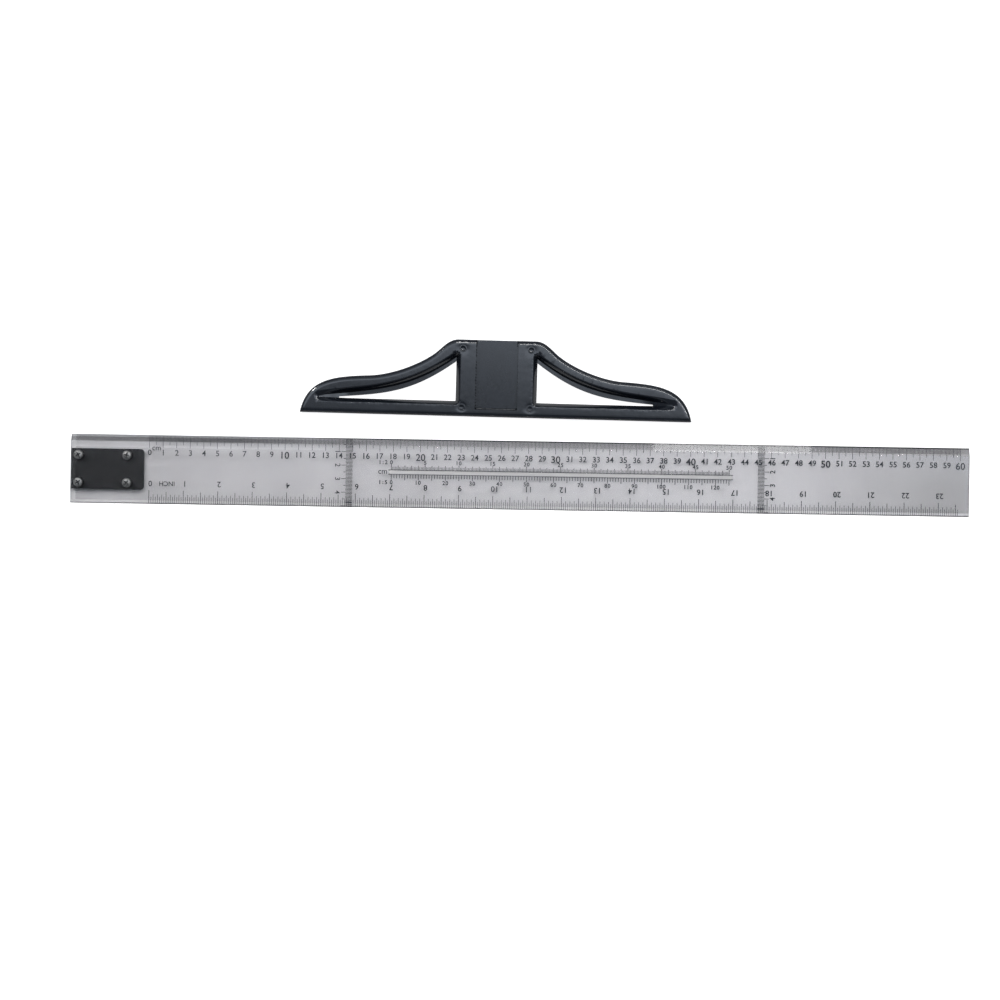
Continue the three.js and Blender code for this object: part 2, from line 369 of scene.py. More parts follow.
def boundary_loops(faces):
    """The loops of points round the outside and round each hole, with the faces on their left."""
    sides = {(f[i], f[(i + 1) % 3]) for f in faces.tolist() for i in range(3)}
    follows = {a: b for a, b in sorted(sides) if (b, a) not in sides}
    loops = []
    while follows:
        start, at = follows.popitem()
        loop = [start]
        while at != start:
            loop.append(at)
            at = follows.pop(at)
        loops.append(loop)
    return loops


def moulding(name, outline, holes, creases, seeds, height, foot):
    """A closed solid whose upper surface has the given height over each point, and a flat underside.

    Its lower edges are rounded by foot. Points are millimetres from the solid's own origin.
    """
    flat, faces, _ = triangles_over(outline, holes, creases, seeds)
    bm = bmesh.new()
    top = [bm.verts.new((x, y, z)) for (x, y), z in zip(flat, height(flat))]
    for face in faces:
        bm.faces.new([top[i] for i in face])

    rims = []
    for loop in boundary_loops(faces):
        at = flat[loop]
        above = [top[i] for i in loop]
        halfway = 0.3 * foot
        for reach, z in ((0.0, foot), (halfway, halfway), (foot, 0.0)):
            rim = at + normals(at) * reach
            below = [bm.verts.new((x, y, z)) for x, y in rim]
            for i in range(len(loop)):
                j = (i + 1) % len(loop)
                bm.faces.new((above[j], above[i], below[i], below[j]))
            above = below
        rims.append((rim, above))

    rims.sort(key=lambda rim: -np.ptp(rim[0], axis=0).prod())
    rings = [ring for ring, _ in rims]
    under = [vert for _, verts in rims for vert in verts]
    _, faces, sources = triangles_over(rings[0], rings[1:], [], np.empty((0, 2)))
    for face in faces:
        bm.faces.new([under[sources[i]] for i in reversed(face)])
    bmesh.ops.delete(bm, geom=[v for v in bm.verts if not v.link_faces], context="VERTS")
    return mesh_from(bm, name)


# ---------------------------------------------------------------- material making


def new_material(name):
    material = bpy.data.materials.new(name)
    material.use_nodes = True
    tree = material.node_tree
    return material, tree, tree.nodes["Principled BSDF"]


def add_node(tree, kind, inputs=None, **settings):
    """A node with its settings and its inputs filled in; a socket as an input is linked."""
    node = tree.nodes.new(kind)
    for key, value in settings.items():
        setattr(node, key, value)
    for key, value in (inputs or {}).items():
        if isinstance(value, bpy.types.NodeSocket):
            tree.links.new(value, node.inputs[key])
        else:
            node.inputs[key].default_value = value
    return node


def product(tree, *values):
    """Sockets multiplied together."""
    total = values[0]
    for value in values[1:]:
        total = add_node(tree, "ShaderNodeMath", {0: total, 1: value}, operation="MULTIPLY").outputs[0]
    return total


def scaled_by(tree, colour, factor):
    """A colour made lighter or darker."""
    inputs = {0: colour, "Scale": factor}
    return add_node(tree, "ShaderNodeVectorMath", inputs, operation="SCALE").outputs[0]


def fade(tree, value, start, end, low=0.0, high=1.0):
    """Goes smoothly from low to high as the value goes from start to end."""
    inputs = {"Value": value, "From Min": start, "From Max": end, "To Min": low, "To Max": high}
    node = add_node(tree, "ShaderNodeMapRange", inputs, interpolation_type="SMOOTHSTEP")
    return node.outputs["Result"]


def band(tree, value, start, end, soft):
    """1 where the value is between start and end, and 0 outside them."""
    up = fade(tree, value, start - soft / 2, start + soft / 2)
    down = fade(tree, value, end - soft / 2, end + soft / 2, 1.0, 0.0)
    return product(tree, up, down)


def millimetres(tree, place):
    """A point's place in the millimetres of a body that lies at the given place: whole, and x, y, z."""
    where = tree.nodes.new("ShaderNodeTexCoord").outputs["Object"]
    back = place.inverted()
    inputs = {
        "Vector": where,
        "Location": tuple(back.translation / MM),
        "Rotation": tuple(back.to_euler()),
        "Scale": (1 / MM, 1 / MM, 1 / MM),
    }
    whole = add_node(tree, "ShaderNodeMapping", inputs).outputs[0]
    return whole, add_node(tree, "ShaderNodeSeparateXYZ", {"Vector": whole}).outputs


def noise(tree, vector, scale, detail=3.0):
    """Cloudy noise with the given number of waves in a millimetre."""
    inputs = {"Vector": vector, "Scale": scale, "Detail": detail}
    return add_node(tree, "ShaderNodeTexNoise", inputs).outputs["Fac"]


def ramp(tree, value, low, high):
    """A colour between low and high, for a value that mostly lies between 0.3 and 0.7."""
    node = add_node(tree, "ShaderNodeValToRGB", {0: value})
    for element, position, colour in zip(node.color_ramp.elements, (0.3, 0.7), (low, high)):
        element.position = position
        element.color = (*colour, 1)
    return node.outputs[0]


# ---------------------------------------------------------------- clear acrylic


def edge_strips(tree, x, y):
    """Painted light and shade: strips along the blade's cut and sloped edges and beside its slot, standing
    in for how these edges refract and mirror the light, each with how much lighter or darker it is.
    """
    half = BLADE_WIDTH / 2
    bevel = half - BEVEL_WIDTH
    by_tongue = fade(tree, x, 90, 260, 1.0, 0.0)
    past_tongue = fade(tree, x, 120, 260)
    far_end = fade(tree, x, 300, 640)
    end_cut = product(tree, fade(tree, x, 3.0, 4.0, 1.0, 0.0), fade(tree, x, 0.3, 0.8))
    off_middle = add_node(tree, "ShaderNodeMath", {0: y, 1: SLOT_Y}, operation="SUBTRACT").outputs[0]
    from_slot = add_node(tree, "ShaderNodeMath", {0: off_middle}, operation="ABSOLUTE").outputs[0]
    along_slot = band(tree, x, SLOT_START - 0.5, SLOT_START + SLOT_LENGTH + 0.5, 0.6)
    slot_side = band(tree, from_slot, SLOT_WIDTH / 2 - 0.1, SLOT_WIDTH / 2 + 0.7, 0.3)
    near_cut = fade(tree, y, 0.4 - half, 1.0 - half, 1.0, 0.0)
    beside_near_cut = band(tree, y, 1.0 - half, 2.6 - half, 0.5)
    slope_by_tongue = product(tree, band(tree, y, bevel + 1.1, half - 1.8, 0.8), by_tongue)
    foot_of_slope = product(tree, band(tree, y, bevel - 3.4, bevel + 0.4, 1.2), by_tongue)
    thin_edge = product(tree, fade(tree, y, half - 1.2, half - 0.6), past_tongue)
    far_crease = product(tree, band(tree, y, bevel + 0.2, bevel + 1.2, 0.6), far_end)
    return [
        (beside_near_cut, 1.45),
        (near_cut, 0.2),
        (slope_by_tongue, 0.5),
        (foot_of_slope, 1.22),
        (thin_edge, 0.12),
        (far_crease, 1.2),
        (product(tree, slot_side, along_slot), 0.45),
        (end_cut, 1.5),
    ]


def acrylic_material():
    """Clear sheet that is a little darker towards its ends, with fine scuffs, and with painted light and
    shade in strips along its edges and its slot.
    """
    material, tree, shader = new_material("clear_acrylic")
    where, (x, y, _) = millimetres(tree, blade_place)
    haze = fade(tree, noise(tree, where, 0.03), 0.2, 0.8, 0.97, 1.03)
    by_tongue = fade(tree, x, 0, 130, 0.95, 1.0)
    by_far_end = fade(tree, x, 500, BLADE_LENGTH, 1.0, 0.74)
    tint = product(tree, haze, by_tongue, by_far_end)
    # The strips of painted light and shade along the edges and the slot lighten or darken the tint.
    for mask, strength in edge_strips(tree, x, y):
        tint = product(tree, tint, fade(tree, mask, 0, 1, 1.0, strength))
    tree.links.new(scaled_by(tree, CLEAR, tint), shader.inputs["Base Color"])
    scuffs = noise(tree, where, 0.9, 6.0)
    tree.links.new(fade(tree, scuffs, 0.45, 0.8, 0.02, 0.09), shader.inputs["Roughness"])
    shader.inputs["IOR"].default_value = ACRYLIC_IOR
    shader.inputs["Transmission Weight"].default_value = 1.0

    clear = add_node(tree, "ShaderNodeBsdfTransparent", {"Color": CLEAR_TO_LIGHT})
    path = tree.nodes.new("ShaderNodeLightPath")
    inputs = {0: path.outputs["Is Shadow Ray"], 1: shader.outputs[0], 2: clear.outputs[0]}
    mix = add_node(tree, "ShaderNodeMixShader", inputs)
    tree.links.new(mix.outputs[0], tree.nodes["Material Output"].inputs["Surface"])
    return material


# ---------------------------------------------------------------- opaque materials


def plastic_material(name, colour, place, roughness, grain, relief, specular):
    """Moulded plastic: slightly mottled, unevenly polished, with a grain of the given size and depth."""
    material, tree, shader = new_material(name)
    where, _ = millimetres(tree, place)
    mottle = noise(tree, where, 0.09, 5.0)
    dark = tuple(0.85 * c for c in colour)
    light = tuple(1.2 * c for c in colour)
    tree.links.new(ramp(tree, mottle, dark, light), shader.inputs["Base Color"])
    polish = noise(tree, where, 0.35, 4.0)
    uneven = fade(tree, polish, 0.3, 0.7, roughness * 0.85, roughness * 1.2)
    tree.links.new(uneven, shader.inputs["Roughness"])
    shader.inputs["Specular IOR Level"].default_value = specular
    inputs = {"Height": noise(tree, where, 1 / grain, 2.0), "Distance": relief * MM, "Strength": 1.0}
    bump = add_node(tree, "ShaderNodeBump", inputs)
    tree.links.new(bump.outputs[0], shader.inputs["Normal"])
    return material


def steel_material():
    """Nickel plate with dull patches, and painted shade low in the recess."""
    material, tree, shader = new_material("nickel_steel")
    where, (_, _, z) = millimetres(tree, blade_place)
    stain = noise(tree, where, 0.8, 5.0)
    colour = ramp(tree, stain, STEEL_DULL, STEEL_BRIGHT)
    recess_floor = BLADE_THICKNESS + SCREW_HEIGHT - RECESS_DEPTH
    # Painted shade: the colour darkens low in the cross recess, where shade falls.
    painted_recess_shade = fade(tree, z, recess_floor + 0.2, recess_floor + 1.0, 0.25, 1.0)
    tree.links.new(scaled_by(tree, colour, painted_recess_shade), shader.inputs["Base Color"])
    tree.links.new(fade(tree, stain, 0.3, 0.7, 0.35, 0.6), shader.inputs["Roughness"])
    shader.inputs["Metallic"].default_value = 1.0
    return material


def ink_material():
    """Printed black, a little thinner in places."""
    material, tree, shader = new_material("black_ink")
    where, _ = millimetres(tree, blade_place)
    colour = ramp(tree, noise(tree, where, 2.5, 2.0), INK_DARK, INK_PALE)
    tree.links.new(colour, shader.inputs["Base Color"])
    shader.inputs["Roughness"].default_value = 0.7
    return material


# ---------------------------------------------------------------- blade


def dress_blade():
    """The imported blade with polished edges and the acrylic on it."""
    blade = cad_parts["blade"]
    blade.data.materials.clear()
    blade.data.materials.append(acrylic_material())
    weld = blade.modifiers.new("weld", "WELD")
    weld.merge_threshold = 1e-6
    flats = blade.modifiers.new("flats", "DECIMATE")
    flats.decimate_type = "DISSOLVE"
    flats.angle_limit = math.radians(1)
    bevel = blade.modifiers.new("edges", "BEVEL")
    bevel.width = EDGE_POLISH * MM
    bevel.segments = 2
    bevel.limit_method = "ANGLE"
    bevel.angle_limit = math.radians(15)
    bevel.harden_normals = True


# ---------------------------------------------------------------- tongue plate


def tongue_outline(step):
    """Square at the blade's end, with two rounded corners at the end that goes in first."""
    corner_x = TONGUE_LENGTH - TONGUE_CORNER
    corner_y = TONGUE_WIDTH / 2 - TONGUE_CORNER
    turns = np.linspace(0, math.pi / 2, 9)
    upper = np.c_[corner_x + TONGUE_CORNER * np.cos(turns), corner_y + TONGUE_CORNER * np.sin(turns)]
    lower = (upper * (1, -1))[::-1]
    corners = [*lower, *upper, (0, TONGUE_WIDTH / 2), (0, -TONGUE_WIDTH / 2)]
    return ring_through(corners, step)


def tongue_plate():
    """The plate below the blade, with a lead-in at its end and holes for the screws."""
    outline = tongue_outline(0.8)
    lead = TONGUE_LENGTH - LEAD_LENGTH
    half = TONGUE_WIDTH / 2

    def height(points):
        drop = LEAD_DROP * np.clip((points[:, 0] - lead) / LEAD_LENGTH, 0, 1)
        turn = 1 - np.clip(distance_to(points, outline) / PLATE_EDGE, 0, 1)
        return TONGUE_THICKNESS - drop - PLATE_EDGE * (1 - np.sqrt(1 - turn**2))

    holes = [circle(x, y, SHANK / 2 + CLEARANCE, 24)[::-1] for x, y, _ in SCREWS.values()]
    across = np.arange(1 - half, half, 1.0)
    seeds = [np.c_[np.full(len(across), lead + past), across] for past in (-0.3, 0, 0.3, 1.5)]
    seeds += [beside(outline, PLATE_EDGE * share) for share in (0.15, 0.4, 0.7, 1.0, 1.5)]
    seeds = np.concatenate([*seeds, net((2, 2 - half), (lead, half), 4.0)])
    wanted = inside(seeds, outline)
    for hole in holes:
        wanted &= ~inside(seeds, hole)
    seeds = thinned(seeds[wanted], [outline, *holes], 0.04)
    mesh = moulding("tongue_plate_moulding", outline, holes, [], seeds, height, FOOT)
    down = Matrix.Translation((0, 0, (-CLEARANCE - TONGUE_THICKNESS) * MM))
    plate = new_object("tongue_plate_moulding", placed(mesh, blade_place @ down, 50))
    matt = plastic_material(
        "matt_black", MATT_BLACK, blade_place, roughness=0.55, grain=0.35, relief=0.03, specular=0.3
    )
    plate.data.materials.append(matt)
    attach(plate, "blade_assembly")
    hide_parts("tongue_plate")


# ---------------------------------------------------------------- screws


def cross_ring(arm, half, step):
    """The outline of a cross with arms of the given length and half width."""
    corners = []
    for quarter in range(4):
        c, s = round(math.cos(quarter * math.pi / 2)), round(math.sin(quarter * math.pi / 2))
        corners += [(c * x - s * y, s * x + c * y) for x, y in ((arm, -half), (arm, half), (half, half))]
    return ring_through(corners, step)


def turned(profile, count):
    """A closed solid turned about Z from (radius, height) points, whose ends are on the axis."""
    bm = bmesh.new()
    low_point = bm.verts.new((0, 0, profile[0][1]))
    high_point = bm.verts.new((0, 0, profile[-1][1]))
    rings = []
    for radius, z in profile[1:-1]:
        rings.append([bm.verts.new((x, y, z)) for x, y in circle(0, 0, radius, count)])
    for i in range(count):
        j = (i + 1) % count
        bm.faces.new((low_point, rings[0][j], rings[0][i]))
        bm.faces.new((high_point, rings[-1][i], rings[-1][j]))
        for low, high in zip(rings, rings[1:]):
            bm.faces.new((low[i], low[j], high[j], high[i]))
    return bm


def screw_head():
    """A pan head with a tapered cross recess."""
    radius = SCREW_HEAD / 2
    mouth = cross_ring(RECESS_LENGTH / 2, RECESS_WIDTH / 2, 0.25)
    floor = cross_ring(RECESS_LENGTH / 2 - RECESS_TAPER, RECESS_WIDTH / 2 - RECESS_TAPER, 0.25)

    def height(points):
        away = np.clip(np.hypot(*points.T) / radius, 0, 1)
        dome = SCREW_RIM + (SCREW_HEIGHT - SCREW_RIM) * np.sqrt(1 - away**DOME_POWER)
        sunk = np.where(inside(points, mouth), distance_to(points, mouth) / RECESS_TAPER, 0)
        return dome - RECESS_DEPTH * np.clip(sunk, 0, 1)

    shares = (0.3, 0.5, 0.68, 0.82, 0.91, 0.96, 0.985)
    rings = [circle(0, 0, radius * share, HEAD_SIDES) for share in shares]
    seeds = thinned(np.concatenate(rings), [mouth, floor], 0.08)
    creases = [np.append(ring, ring[:1], axis=0) for ring in (mouth, floor)]
    rim = circle(0, 0, radius, HEAD_SIDES)
    return moulding("screw_head", rim, [], creases, seeds, height, foot=0.08)


def screw_mesh():
    """The head and its threaded shank."""
    outer = SHANK / 2
    core = outer * THREAD_CORE
    tip = outer * 0.4
    into_head = 0.2
    thread_start = 1.2 - SHANK_LENGTH
    profile = [(0, -SHANK_LENGTH), (tip, -SHANK_LENGTH)]
    for turn in range(THREAD_TURNS):
        z = thread_start + THREAD_PITCH * turn
        profile += [(core, z), (outer, z + 0.4), (core, z + 0.8)]
    profile += [(core, into_head), (0, into_head)]
    bm = turned(profile, SHANK_SIDES)
    bm.from_mesh(screw_head())
    return mesh_from(bm, "screw")


def screws():
    steel = steel_material()
    for name, (x, y, turn) in SCREWS.items():
        seat = Matrix.Translation((x * MM, y * MM, (BLADE_THICKNESS + CLEARANCE) * MM))
        place = blade_place @ seat @ Matrix.Rotation(math.radians(turn), 4, "Z")
        screw = new_object(f"{name}_detailed", placed(screw_mesh(), place, 40))
        screw.data.materials.append(steel)
        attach(screw, "blade_assembly")
        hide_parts(name)


# ---------------------------------------------------------------- printed scales


class Print:
    """Lines and figures that are printed as one thin piece of ink."""

    def __init__(self, name):
        self.name = name
        self.bm = bmesh.new()

    def line(self, x, y, width, length):
        """A line centred on x that runs from y by the given length, up or down."""
        low, high = sorted((y, y + length))
        left, right = x - width / 2, x + width / 2
        corners = [(left, low), (right, low), (right, high), (left, high)]
        below = [self.bm.verts.new((*c, INK_LOW)) for c in corners]
        above = [self.bm.verts.new((*c, INK_HIGH)) for c in corners]
        self.bm.faces.new(below[::-1])
        self.bm.faces.new(above)
        for i in range(4):
            j = (i + 1) % 4
            self.bm.faces.new((below[i], below[j], above[j], above[i]))

    def figures(self, text, x, y, height, turn=0, bold=0.0, spacing=1.0):
        """Lettering centred on (x, y), whose capitals have the given height."""
        curve = bpy.data.curves.new("figures", "FONT")
        curve.body = text
        curve.size = height / CAPITAL
        curve.resolution_u = 3
        curve.offset = bold
        curve.space_character = spacing
        curve.extrude = (INK_HIGH - INK_LOW) / 2
        letters = new_object("figures", curve)
        bpy.context.view_layer.update()
        shape = letters.evaluated_get(bpy.context.evaluated_depsgraph_get()).to_mesh()
        corners = np.array([v.co for v in shape.vertices])
        middle = (corners.min(0) + corners.max(0)) / 2
        place = Matrix.Translation((x, y, (INK_LOW + INK_HIGH) / 2))
        turned_over = Matrix.Rotation(math.radians(turn), 4, "Z")
        shape.transform(place @ turned_over @ Matrix.Translation(-Vector(middle)))
        self.bm.from_mesh(shape)
        bpy.data.objects.remove(letters)
        bpy.data.curves.remove(curve)

    def finish(self, ink):
        bmesh.ops.remove_doubles(self.bm, verts=self.bm.verts, dist=1e-4)
        piece = new_object(self.name, placed(mesh_from(self.bm, self.name), blade_place))
        piece.data.materials.append(ink)
        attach(piece, "blade_assembly")


def centimetre_scale(ink):
    """The scale along the far edge, in centimetres and millimetres."""
    scale = Print("centimetre_scale")
    edge = BLADE_WIDTH / 2
    for mark in range(601):
        kind = 0 if mark % 10 == 0 else 1 if mark % 5 == 0 else 2
        width = MILLIMETRE_LINE if kind == 2 else THIN_LINE
        scale.line(ZERO + mark, edge - CM_GAP, width, -CM_MARKS[kind])
    for number in range(61):
        tens = number > 0 and number % 10 == 0
        height, bold = (CM_TENS_FIGURE, 0.08) if tens else (CM_FIGURE, 0.05)
        y = edge - CM_FIGURE_TOP - height / 2
        scale.figures(str(number), ZERO + number * CM + 0.2, y, height, bold=bold)
    scale.figures("cm", ZERO + 5.2, edge - 10.0, CM_WORD, bold=0.03)
    scale.finish(ink)


def inch_scale(ink):
    """The scale along the near edge, in inches and sixteenths, whose figures are upside down."""
    scale = Print("inch_scale")
    edge = INCH_GAP - BLADE_WIDTH / 2
    sixteenths = int(60 * CM / INCH * 16)
    for mark in range(sixteenths + 1):
        kind = 0 if mark % 16 == 0 else 1 if mark % 8 == 0 else 2 if mark % 2 == 0 else 3
        width = THICK_LINE if kind < 2 else THIN_LINE
        scale.line(ZERO + mark * INCH / 16, edge, width, INCH_MARKS[kind])
    y = edge + INCH_FIGURE_IN
    for number in range(24):
        scale.figures(str(number), ZERO + number * INCH + 0.9, y, INCH_FIGURE, turn=180, bold=0.05)
    scale.figures("INCH", ZERO + 13.2, y, INCH_WORD, turn=180, bold=0.04)
    scale.finish(ink)


def slot_scales(ink):
    """Two reduced scales, one on each side of the slot."""
    scale = Print("slot_scales")
    edge = SLOT_WIDTH / 2 + SLOT_GAP
    above, below = SLOT_Y + HALF_FIGURE_OUT, SLOT_Y - FIFTH_FIGURE_OUT
    for mark in range(251):
        kind = 0 if mark % 25 == 0 else 1 if mark % 5 == 0 else 2
        width = THIN_LINE if kind == 2 else THICK_LINE
        scale.line(SLOT_ZERO + mark, SLOT_Y + edge, width, HALF_SCALE_MARKS[kind])
    for mark in range(126):
        kind = 0 if mark % 5 == 0 else 1
        scale.line(SLOT_ZERO + mark * 2, SLOT_Y - edge, THICK_LINE, -FIFTH_SCALE_MARKS[kind])
    for number in range(0, 51, 5):
        x = SLOT_ZERO + number * 5
        scale.figures(str(number), x, above, SLOT_FIGURE, bold=0.07, spacing=1.15)
    for number in range(0, 121, 10):
        x = SLOT_ZERO + number * 2
        scale.figures(str(number), x, below, SLOT_FIGURE, bold=0.07, spacing=1.15)
    scale.figures("1:2", SLOT_ZERO - 5.8, above, SLOT_FIGURE, bold=0.08, spacing=1.4)
    scale.figures("cm", SLOT_ZERO - 6.4, SLOT_Y, CM_WORD, bold=0.03)
    scale.figures("1:5", SLOT_ZERO - 5.8, below, SLOT_FIGURE, bold=0.08, spacing=1.4)
    scale.finish(ink)


def cross_scale(name, left, side, ink):
    """A scale across the blade, whose longer marks and figures are on one side of it."""
    scale = Print(name)
    top = BLADE_WIDTH / 2
    outer = left if side < 0 else left + CROSS_WIDTH
    for mark in range(1, 51):
        reach = CROSS_REACH[0 if mark % 10 == 0 else 1 if mark % 5 == 0 else 2]
        middle = left + CROSS_WIDTH / 2 + side * reach / 2
        scale.line(middle, top - mark - CROSS_LINE / 2, CROSS_WIDTH + reach, CROSS_LINE)
    for number in (1, 2, 3, 4):
        x = outer + side * CROSS_FIGURE_OUT
        scale.figures(str(number), x, top - number * CM, CROSS_FIGURE, turn=90 * side, bold=0.02)
    scale.line(left + CROSS_WIDTH / 2, top - CROSS_END, CROSS_WIDTH, CROSS_END_LINE)
    scale.finish(ink)


# ---------------------------------------------------------------- head


def head_outline(step):
    """The straight working edge, two swept arms and the block's flat back edge."""
    right = [np.array([(FLAT_HALF, HEAD_DEPTH)], float)]
    for a, b, end in ARM_EDGE:
        right.append(bezier(right[-1][-1], a, b, end, 80)[1:])
    right = np.concatenate(right)
    flat = [(x, HEAD_DEPTH) for x in (-FLAT_HALF, -CHANNEL_HALF, CHANNEL_HALF, FLAT_HALF)]
    front = [(HEAD_LENGTH / 2, 0), (-HEAD_LENGTH / 2, 0)]
    return ring_of([mirrored(right), flat[:2], flat[1:3], flat[2:], right, front], step)


def cutout_edge(shape, step):
    """The edge of a cutout in the right arm, from the bar round its narrow end and back to the block."""
    low = (shape["tip"], BAR_WIDTH)
    high = (shape["tip"], BAR_WIDTH + 2 * CUTOUT_END)
    end = bezier(low, (low[0] + CUTOUT_END, low[1]), (high[0] + CUTOUT_END, high[1]), high, 7)
    upper = bezier(high, *shape["handles"], (BLOCK_HALF, shape["block_y"]), 120)
    return np.concatenate([end[:-1], spaced(upper, step)])


def cutout(shape, step):
    """The ring that a cutout's edge makes with the bar and the block."""
    edge = cutout_edge(shape, step)
    corner = (BLOCK_HALF, BAR_WIDTH)
    along_bar = spaced([corner, edge[0]], step)[:-1]
    down_block = spaced([edge[-1], corner], step)[1:-1]
    return np.concatenate([along_bar, edge, down_block])


def relief_crease(step):
    """The part of the relief's edge that the opening's edge doesn't share."""
    opening, relief = cutout_edge(OPENING, step), cutout_edge(RELIEF, step)
    along_bar = spaced([opening[0], relief[0]], step)[:-1]
    down_block = spaced([relief[-1], opening[-1]], step)[1:]
    return np.concatenate([along_bar, relief, down_block])


def channel_crease(step):
    """The channel's top edge, open at the head's back edge."""
    corners = [(-CHANNEL_HALF, HEAD_DEPTH), (-CHANNEL_HALF, CHANNEL_END)]
    corners += [(CHANNEL_HALF, CHANNEL_END), (CHANNEL_HALF, HEAD_DEPTH)]
    return np.concatenate([spaced(side, step)[:-1] for side in zip(corners, corners[1:])] + [corners[-1:]])


def head_height(outline, reliefs):
    """The height of the head's upper surface, as a function of points."""

    def height(points):
        from_edge = distance_to(points, outline)
        steep = 1 - np.clip(from_edge / SHOULDER, 0, 1)
        gentle = 1 - np.clip((from_edge - SHOULDER) / RIM_WIDTH, 0, 1)
        x, y = np.abs(points[:, 0]), points[:, 1]
        rim_drop = RIM_DROP * ease(y / BAR_WIDTH)
        rounding = (EDGE_DROP - rim_drop) * (1 - np.sqrt(1 - steep**2))
        surface = HEAD_HEIGHT - rounding - rim_drop * gentle**2
        run_out = RUN_OUT_SHARE * ease((x - RELIEF["tip"]) / RUN_OUT + RUN_OUT_LEAD)
        web = WEB_HEIGHT + (HEAD_HEIGHT - WEB_HEIGHT) * run_out
        for relief in reliefs:
            away = np.where(inside(points, relief), 0, distance_to(points, relief))
            rise = 1 - (1 - np.clip(away / INNER_SLOPE, 0, 1)) ** SLOPE_POWER
            surface = np.minimum(surface, web + (HEAD_HEIGHT - web) * rise)

        for mark_x, mark_y in PIN_MARKS:
            away = np.hypot(x - mark_x, y - mark_y)
            surface = surface - PIN_SINK * np.exp(-((away / PIN_SINK_SPREAD) ** 2))
            surface = surface - PIN_DEPTH * (1 - ease((away - PIN_RADIUS + PIN_EDGE) / PIN_EDGE))
            lip = (away - PIN_RADIUS - PIN_EDGE) / PIN_LIP_SPREAD
            surface = surface + PIN_LIP * np.exp(-(lip**2))

        ramp_up = ease(1 - (y - CHANNEL_END) / CHANNEL_RAMP)
        wall = np.clip(1 - (CHANNEL_HALF - x) / WALL, 0, 1)
        floor = CHANNEL_FLOOR + (HEAD_HEIGHT - CHANNEL_FLOOR) * np.maximum(ramp_up, wall)
        in_channel = (x < CHANNEL_HALF) & (y > CHANNEL_END)
        return np.where(in_channel, np.minimum(floor, surface), surface)

    return height


def head_seeds(outline, openings, reliefs, channel):
    """Points that carry the head's rounded shapes, and an even net between them."""
    seeds = [beside(outline, SHOULDER * s) for s in (0.03, 0.1, 0.2, 0.35, 0.52, 0.75, 1.0)]
    seeds += [beside(outline, SHOULDER + RIM_WIDTH * s) for s in (0.17, 0.35, 0.55, 0.8, 1.05)]
    for relief in reliefs:
        for share in (0.1, 0.25, 0.42, 0.6, 0.76, 0.88, 0.96, 1.0, 1.06):
            seeds.append(beside(relief, INNER_SLOPE * share))
    radii = (0.01, 0.7, 1.4, 1.6, 1.8, 1.95, 2.1, 2.3, 2.6, 3.2, 4.2, 5.5)
    for mark_x, mark_y in PIN_MARKS:
        for radius in radii:
            mark = circle(mark_x, mark_y, radius, max(round(radius * 12), 3))
            seeds += [mark, mirrored(mark)]
    wall = np.arange(CHANNEL_END, HEAD_DEPTH, 1.0)
    wall = np.c_[np.full(len(wall), CHANNEL_HALF - WALL), wall]
    across = np.arange(1 - CHANNEL_HALF, CHANNEL_HALF, 1.0)
    rows = CHANNEL_END + CHANNEL_RAMP * np.linspace(0.1, 1, 8)
    ramp = [np.c_[across, np.full(len(across), y)] for y in rows]
    plain = net((1 - HEAD_LENGTH / 2, 1.1), (HEAD_LENGTH / 2, HEAD_DEPTH), 2.3)
    seeds = np.concatenate([*seeds, wall, mirrored(wall), *ramp, plain])
    wanted = inside(seeds, outline)
    for opening in openings:
        wanted &= ~inside(seeds, opening)
    return thinned(seeds[wanted], [outline, *openings, *reliefs, channel], 0.08)


def build_head():
    """The head as one moulding, gloss all over apart from its grained channel."""
    step = 0.9
    outline = head_outline(step)
    opening, relief, crease = cutout(OPENING, step), cutout(RELIEF, step), relief_crease(step)
    openings = [opening, mirrored(opening)]
    reliefs = [relief, mirrored(relief)]
    channel = channel_crease(step)
    seeds = head_seeds(outline, openings, reliefs, channel)
    height = head_height(outline, reliefs)
    creases = [crease, mirrored(crease), channel]
    mesh = moulding("head_moulding", outline, openings, creases, seeds, height, FOOT)
    gloss = plastic_material(
        "gloss_black", GLOSS_BLACK, head_place, roughness=0.1, grain=14.0, relief=0.05, specular=0.5
    )
    grained = plastic_material(
        "grained_black", GRAINED_BLACK, head_place, roughness=0.11, grain=0.5, relief=0.003, specular=0.42
    )
    mesh.materials.append(gloss)
    mesh.materials.append(grained)
    for face in mesh.polygons:
        x, y, _ = face.center
        in_channel = abs(x) < CHANNEL_HALF - WALL and y > CHANNEL_END + CHANNEL_RAMP
        face.material_index = 1 if in_channel and face.normal.z > 0.5 else 0
    head = new_object("head_moulding", placed(mesh, head_place, 38))
    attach(head, "head")
    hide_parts("head")


# ---------------------------------------------------------------- camera, lights and table


def make_camera():
    """Looks straight down, with the small turn that the layout is seen with."""
    data = bpy.data.cameras.new("camera")
    data.sensor_width = SENSOR
    data.lens = SENSOR * CAMERA_HEIGHT / SEEN_WIDTH
    camera = new_object("camera", data)
    target = blade_place @ Vector((CAMERA_OVER[0] * MM, CAMERA_OVER[1] * MM, 0))
    camera.location = (target.x, target.y, CAMERA_HEIGHT)
    camera.rotation_euler = (0, 0, CAMERA_TURN)
    bpy.context.scene.camera = camera


def area_light(name, place, aim, size, watts):
    data = bpy.data.lights.new(name, "AREA")
    data.shape = "RECTANGLE"
    data.size, data.size_y = size
    data.energy = watts
    light = new_object(name, data)
    light.location = place
    light.rotation_euler = (Vector(aim) - Vector(place)).to_track_quat("-Z", "Y").to_euler()


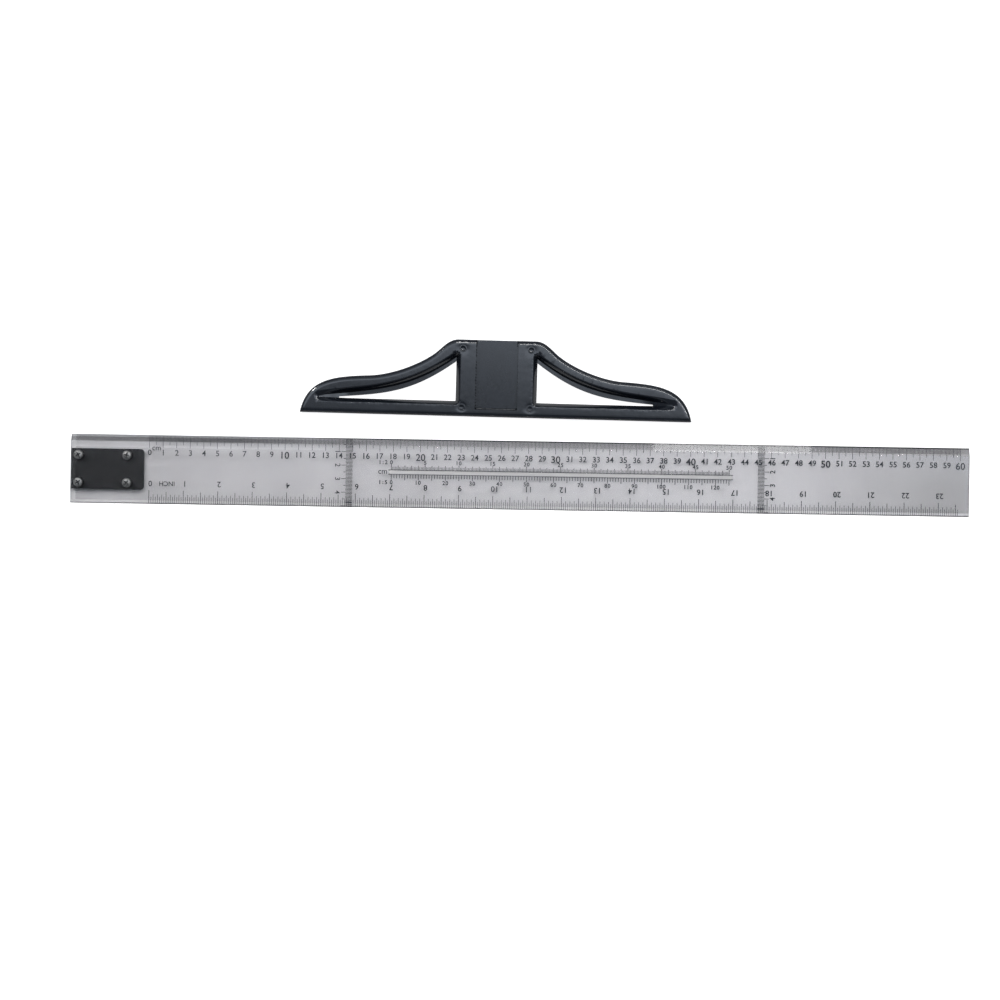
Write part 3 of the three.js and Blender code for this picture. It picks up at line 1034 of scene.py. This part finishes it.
def make_lights():
    """A weak sun, two lamps that the sloped and rounded edges mirror, and the room."""
    sun = bpy.data.lights.new("key", "SUN")
    sun.energy = SUN_STRENGTH
    sun.angle = SUN_ANGLE
    key = new_object("key", sun)
    key.rotation_euler = Vector(SUN_DIRECTION).to_track_quat("-Z", "Y").to_euler()
    area_light("window", place=(0.387, 0.855, 1.2), aim=(0.387, 0.0, 0.0), size=(0.26, 0.05), watts=0.22)
    area_light("strip", place=(0.28, 0.50, 1.3), aim=(0.05, 0.05, 0.0), size=(1.0, 0.05), watts=5.0)
    bpy.context.scene.world = make_room()


def make_room():
    """Dim walls that are brighter near the floor, and a ceiling that is bright on the far side only."""
    world = bpy.data.worlds.new("studio")
    world.use_nodes = True
    tree = world.node_tree
    direction = add_node(tree, "ShaderNodeTexCoord").outputs["Generated"]
    x, y, z = add_node(tree, "ShaderNodeSeparateXYZ", {"Vector": direction}).outputs
    share_of_x = 0.2  # the bright part of the ceiling lies a little askew
    inputs = {0: x, 1: share_of_x, 2: y}
    leaning = add_node(tree, "ShaderNodeMath", inputs, operation="MULTIPLY_ADD").outputs[0]
    near = fade(tree, leaning, 0.062, 0.108, 0.65, 2.7)
    far = fade(tree, leaning, 0.2, 0.45, 1.0, 0.25)
    behind = fade(tree, leaning, -0.03, 0.03)
    ceiling = product(tree, near, far, behind, fade(tree, z, 0.72, 0.86))
    walls = fade(tree, z, 0.05, 0.5, 0.6, 0.15)
    room = add_node(tree, "ShaderNodeMath", {0: ceiling, 1: walls}, operation="ADD").outputs[0]
    seen = add_node(tree, "ShaderNodeLightPath").outputs["Is Camera Ray"]
    strength = add_node(tree, "ShaderNodeMath", {0: room, 1: seen}, operation="MAXIMUM").outputs[0]
    background = tree.nodes["Background"]
    background.inputs["Color"].default_value = ROOM_COLOUR
    tree.links.new(strength, background.inputs["Strength"])
    return world


def make_table():
    """A pale table that looks white all round the object, and its own grey below the blade."""
    bpy.ops.mesh.primitive_plane_add(size=8, location=(0, 0, -0.0002))
    table = bpy.context.object
    table.name = "table"
    material, tree, shader = new_material("pale_table")
    where, (x, y, _) = millimetres(tree, blade_place)
    shade = ramp(tree, noise(tree, where, 0.003), TABLE_DARK, TABLE_PALE)
    tree.links.new(shade, shader.inputs["Base Color"])
    shader.inputs["Roughness"].default_value = 0.9
    shader.inputs["Emission Color"].default_value = (1, 1, 1, 1)
    inset = 2
    edge = BLADE_WIDTH / 2 - inset
    along = band(tree, x, inset, BLADE_LENGTH - inset, 1)
    below_blade = product(tree, along, band(tree, y, -edge, edge, 1))
    seen = add_node(tree, "ShaderNodeLightPath").outputs["Is Camera Ray"]
    glow = product(tree, seen, fade(tree, below_blade, 0, 1, TABLE_GLOW, 0.0))
    tree.links.new(glow, shader.inputs["Emission Strength"])
    table.data.materials.append(material)


# ---------------------------------------------------------------- the scene

make_camera()
make_lights()
make_table()
dress_blade()
tongue_plate()
screws()
black_ink = ink_material()
centimetre_scale(black_ink)
inch_scale(black_ink)
slot_scales(black_ink)
for scale_name, (start, figure_side) in CROSS_SCALES.items():
    cross_scale(scale_name, start, figure_side, black_ink)
build_head()
bpy.context.scene.view_settings.view_transform = "Standard"
